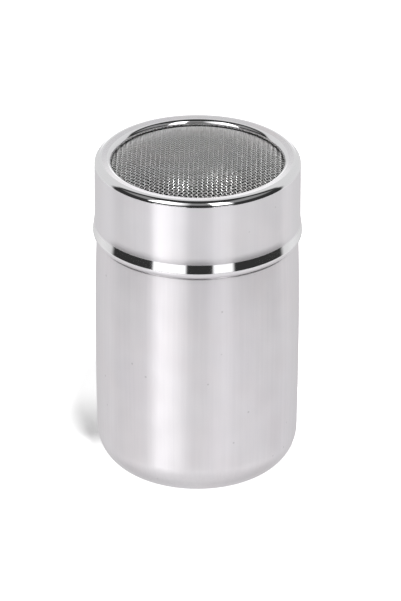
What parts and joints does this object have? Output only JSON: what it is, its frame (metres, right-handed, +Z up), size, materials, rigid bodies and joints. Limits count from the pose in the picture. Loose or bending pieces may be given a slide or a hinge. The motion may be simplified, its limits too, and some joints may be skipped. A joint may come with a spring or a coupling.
{
  "type": "sieve-top seasoning shaker",
  "caption": "Cylindrical metal shaker: a deep-drawn cup with a screw lid whose rim holds a domed woven wire sieve for sifting spice, sugar or flour.",
  "frame": {"origin": "centre of the ring that the cup stands on", "axes": "+Z up along the axis of the cup, towards the sieve; X and Y are free round the axis"},
  "size_m": [0.0654, 0.0654, 0.106],
  "materials": {
    "satin_steel": "satin stainless steel, fine brushed, with a mirror-polished strip above the lid's lower edge",
    "inner_steel": "plain drawn stainless steel, dull",
    "wire_steel": "bright drawn stainless wire, woven"
  },
  "bodies": {
    "cup": {"cup": "satin_steel"},
    "sieve": {"hem_ring": "inner_steel", "warp_wires": "wire_steel", "weft_wires": "wire_steel"},
    "lid": {"lid_shell": "satin_steel", "thread_sleeve": "inner_steel"}
  },
  "joints": [
    {"name": "lid_lift", "type": "slide", "parent": "cup", "child": "sieve", "axis": [0, 0, 1], "range_m": [0, 0.03]},
    {"name": "lid_turn", "type": "hinge", "parent": "sieve", "child": "lid", "pos_m": [0, 0, 0.09], "axis": [0, 0, 1], "range_deg": [0, 1800]}
  ],
  "couplings": [
    {"joint": "lid_lift", "follows": "lid_turn", "m_per_rad": 0.00095493}
  ]
}
